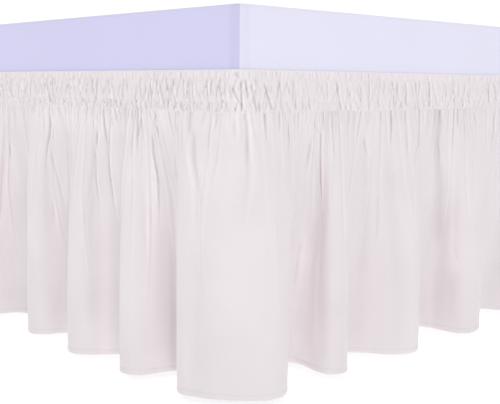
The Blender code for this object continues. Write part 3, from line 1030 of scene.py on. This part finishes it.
# The gathers between those, in tiers. shown: whether they also lie where the table has gathers;
# lean: how far each leans, either way; at foot: how much deeper it is along the foot end.
SHIRRING = (
    # shown, band, pitch, depth, half width, lean, at foot
    (True, LIP, 0.0040, (0.0004, 0.0012), 0.0010, 0.0010, 1.2),
    (True, LIP, 0.0110, (0.0008, 0.0018), 0.0014, 0.0015, 1.2),
    (True, CASING, 0.0041, (0.0003, 0.0016), 0.0010, 0.0045, 1.7),
    (True, CASING, 0.0150, (0.0008, 0.0020), 0.0012, 0.0055, 1.5),
    (False, CASING, 0.0170, (0.0010, 0.0022), 0.0034, 0.0050, 1.0),
    (True, LOWER, 0.0040, (0.0004, 0.0014), 0.0010, 0.0030, 1.5),
    (True, LOWER, 0.0110, (0.0008, 0.0020), 0.0013, 0.0040, 1.3),
)
SHIRRING_SHARP = 1.4
SHIRRING_SPREAD = 0.45  # how far from even they lie, of the pitch
SHIRRING_SHORT = 0.5  # of the band's height: the most by which half of them miss its edge
SHIRRING_LEAST = 2  # mm that each runs at least
SHIRRING_RIDGES = (-0.5, 0.5, 0.5)
SHIRRING_FADE = 2.4  # mm over which a gather begins and ends
SHIRRING_SEED = 23
# How deep the gathers are by their place, the table's and then those of the tiers: the cloth is
# drawn up tightest along the foot end, and least just past the corner.
PLACED_DEEPER = (
    (-0.50, -0.33, -0.18, -0.09, 0.09, 0.20, 0.32),
    (1, 1.3, 1.25, 0.82, 0.72, 0.78, 1),
)
SHIRRING_DEEPER = (
    (-0.50, -0.33, -0.18, -0.09, 0, 0.06, 0.12, 0.22, 0.32),
    (1, 1.3, 1.2, 1.1, 1, 0.88, 0.78, 0.8, 1),
)


def how_far(place):
    """How far a place lies from the photographed stretch: 0 in it, 1 beyond the fade."""
    away = np.minimum(np.abs(place), np.abs(place - PERIMETER))
    return np.clip((away - SHOWN_HEADING[1]) / HEADING_FADE, 0, 1)


def heading_columns():
    """Places of the heading's columns: close together beside the photographed corner."""
    places = []
    place = SHOWN_HEADING[0]
    while place < PERIMETER + SHOWN_HEADING[0] - LAST_COLUMN:
        places.append(place)
        place += HEADING_COLUMN_SHOWN + (HEADING_COLUMN - HEADING_COLUMN_SHOWN) * how_far(place)
    return np.array(places)


def press(height, places, down, start, end, depth, half_width, ridge):
    """Presses one gather into the band, from one (place, below) to another. Below is in mm."""
    line = np.interp(down, [start[1], end[1]], [start[0], end[0]])
    begun = np.clip((down - start[1] + SHIRRING_FADE / 2) / SHIRRING_FADE, 0, 1)
    left = np.clip((end[1] + SHIRRING_FADE / 2 - down) / SHIRRING_FADE, 0, 1)
    inside = begun * left
    lines = np.nonzero(inside > 0)[0]
    low = min(start[0], end[0]) - CREASE_REACH * half_width
    high = max(start[0], end[0]) + CREASE_REACH * half_width
    columns = np.nonzero((places > low) & (places < high))[0]
    off_line = (places[columns][None, :] - line[lines][:, None]) / half_width
    section = furrow(off_line, SHIRRING_SHARP, ridge)
    height[np.ix_(lines, columns)] -= depth * inside[lines][:, None] * section


def heading_relief(places, down, chance):
    """Heights of the shirring: the table's gathers, and uneven ones in each band, deepest in the
    casing. They are wider and shallower where the mesh is coarser."""
    height = np.zeros((len(down), len(places)))
    for place, below, foot_place, foot_below, depth in CASING_GATHERS:
        start, end = (place / 1000, below), (foot_place / 1000, foot_below)
        deep = PLACED_DEPTH * depth / 1000 * np.interp(place / 1000, *PLACED_DEEPER)
        press(height, places, down, start, end, deep, PLACED_HALF_WIDTH, PLACED_RIDGE)
    for shown_too, band, pitch, depth, half_width, lean, at_foot in SHIRRING:
        top, foot = band
        for at in scattered(places, pitch, SHIRRING_SPREAD, chance):
            tilt = chance.uniform(-lean, lean)
            start = top + chance.uniform(0, SHIRRING_SHORT) * (foot - top) * chance.choice((0, 1))
            end = foot - chance.uniform(0, SHIRRING_SHORT) * (foot - top) * chance.choice((0, 1))
            path = (at - tilt, start), (at + tilt, max(end, start + SHIRRING_LEAST))
            deep = chance.uniform(*depth)
            ridge = chance.choice(SHIRRING_RIDGES)
            far = how_far(at)
            if at < 0 or at > PERIMETER / 2:
                deep *= 1 + (at_foot - 1) * (1 - far)
            if band != LIP:
                deep *= np.interp(at, *SHIRRING_DEEPER)
            if not shown_too:
                deep *= far
            half = half_width + far * (max(half_width, BEYOND_HALF) - half_width)
            deep *= half_width / half
            if deep:
                press(height, places, down, *path, deep, half, ridge)
    return height


def heading_band(material):
    """The band as one closed shell round the box."""
    places = heading_columns()
    count = len(places)
    down, out, depth = (np.array(column, float) for column in zip(*HEADING_ROWS))
    z = HEADING_TOP - down / 1000
    height = heading_relief(places, down, random.Random(SHIRRING_SEED)) * depth[:, None]
    faced = np.maximum(out[:, None] / 1000 + height, LEAST_OUT)
    front = beside_box(np.tile(places, (len(down), 1)), faced)
    back = beside_box(places, np.full(count, BACK_OUT))
    rings = [*zip(*front, z), (*back, z[-1]), (*back, HEADING_TOP)]
    points = [np.stack([x, y, np.full(count, level)], 1) for x, y, level in rings]
    here = np.arange(count)
    after = (here + 1) % count
    faces = []
    for ring in range(len(rings)):
        upper, lower = ring * count, (ring + 1) % len(rings) * count
        faces.append(np.stack([upper + here, lower + here, lower + after, upper + after], 1))
    # Painted shade in the gathers, less a painted highlight at the lip's upper edge, and more
    # painted shade where the mesh is coarser.
    edge_light = EDGE_LIGHT * np.exp(-down / EDGE_LIGHT_DROP)[:, None]
    finer = FINER_SHADE * how_far(places)[None, :]
    shade = (shade_in(height, SHIRRED) - edge_light + finer).ravel()
    levels = np.array([level for _, _, level in rings])

    def cloth_at(corners):
        """The face that closes the band ends at the last place on the cloth, not at the first."""
        column = corners % count
        closing = (column == 0) & (np.roll(column, 1) > count / 2)
        across = np.where(closing, places[-1], places[column])
        return np.stack([across, levels[corners // count]], 1)

    return cloth_object(
        "heading_cloth",
        np.concatenate(points).tolist(),
        np.concatenate(faces).tolist(),
        np.concatenate([shade, np.zeros(2 * count)]),
        cloth_at,
        material,
    )


stitch_heights = [HEADING_TOP - below for below in HEADING_STITCHES]
heading = heading_band(microfibre("shirred_microfibre", SHIRRED_LIT_COLOUR, stitch_heights))
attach(heading, "root")
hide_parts("elastic_heading")


# ---------------------------------------------------------------------------------------------
# The room: a plain pale floor, a white dome of light that is brighter overhead and behind the bed,
# and two large soft lamps, one before the foot and one before the right side.

FLOOR_GREY = "9C9C9C"
DOME_WAY = (-0.72, 0.68, 0.12)  # the middle of the brighter part, behind the bed's foot corner
DOME_SPREAD = (0.70, 0.86)  # cosines off that way, where it begins and is full
DOME_BEHIND = 1.05
DOME_BEFORE = 0.51
DOME_ABOVE = 0.58  # added overhead
DOME_ABOVE_FROM = 0.25  # sine of the angle over the horizon where that begins
SOFT_LAMPS = (
    # name, azimuth, height, away, side, power
    ("left_lamp", 8, 1.4, 3.2, 2.0, 12.5),
    ("right_lamp", 86, 1.4, 3.2, 2.0, 11.5),
)
bpy.ops.mesh.primitive_plane_add(size=60, location=(0, 0, 0))
floor = bpy.context.object
floor.name = "floor"
pale, shader = new_material("pale_floor", 0.9, Emission_Color=(1, 1, 1, 1), Emission_Strength=0.77)
shader.inputs["Base Color"].default_value = from_hex(FLOOR_GREY)
floor.data.materials.append(pale)

world = bpy.data.worlds.new("studio")
bpy.context.scene.world = world
world.use_nodes = True
facing = add_node(world, "TexCoord").outputs["Generated"]
towards = add_node(world, "VectorMath", [(0, facing), (1, DOME_WAY)], operation="DOT_PRODUCT")
level = add_node(
    world,
    "MapRange",
    [
        ("Value", towards.outputs["Value"]),
        ("From Min", DOME_SPREAD[0]),
        ("From Max", DOME_SPREAD[1]),
        ("To Min", DOME_BEFORE),
        ("To Max", DOME_BEHIND),
    ],
    interpolation_type="SMOOTHSTEP",
)
height = add_node(world, "SeparateXYZ", [(0, facing)]).outputs["Z"]
above = add_node(
    world, "MapRange", [("Value", height), ("From Min", DOME_ABOVE_FROM), ("To Max", DOME_ABOVE)]
)
both = add_node(world, "Math", [(0, above), (1, level)], operation="ADD")
background = world.node_tree.nodes["Background"]
world.node_tree.links.new(both.outputs[0], background.inputs["Strength"])
background.inputs["Color"].default_value = (1, 1, 1, 1)

# azimuth is measured round the bed: 0 before the foot, 90 before the right side. Both lamps
# # face the skirt at the foot corner.
target = Vector((box_high.x, box_low.y, 0.2))
for name, azimuth, height, away, side, power in SOFT_LAMPS:
    lamp = bpy.data.lights.new(name, "AREA")
    lamp.shape = "SQUARE"
    lamp.size = side
    lamp.energy = power
    made = bpy.data.objects.new(name, lamp)
    bpy.context.scene.collection.objects.link(made)
    turn = math.radians(azimuth)
    made.location = target + Vector((away * math.sin(turn), -away * math.cos(turn), height))
    made.rotation_euler = (target - made.location).to_track_quat("-Z", "Y").to_euler()

# The photograph's viewpoint: about a metre off the foot corner, just below the heading's top.
VIEW_TURN = math.radians(47.33)  # of the camera round the corner
VIEW_AWAY = 1.043
VIEW_DROP = 0.0177  # below the heading's top
VIEW_YAW = math.radians(46.59)
VIEW_TILT = math.radians(7.43)
VIEW_ROLL = math.radians(0.43)
VIEW_LENS = 64.76
camera_data = bpy.data.cameras.new("camera")
camera_data.sensor_fit = "HORIZONTAL"
camera_data.sensor_width = 36
camera_data.lens = VIEW_LENS
camera = bpy.data.objects.new("camera", camera_data)
bpy.context.scene.collection.objects.link(camera)
camera.matrix_world = (
    Matrix.Translation(
        (
            box_high.x + VIEW_AWAY * math.sin(VIEW_TURN),
            box_low.y - VIEW_AWAY * math.cos(VIEW_TURN),
            HEADING_TOP - VIEW_DROP,
        )
    )
    @ Matrix.Rotation(VIEW_YAW, 4, "Z")
    @ Matrix.Rotation(math.pi / 2 - VIEW_TILT, 4, "X")
    @ Matrix.Rotation(VIEW_ROLL, 4, "Z")
)
bpy.context.scene.camera = camera
bpy.context.scene.view_settings.view_transform = "Standard"
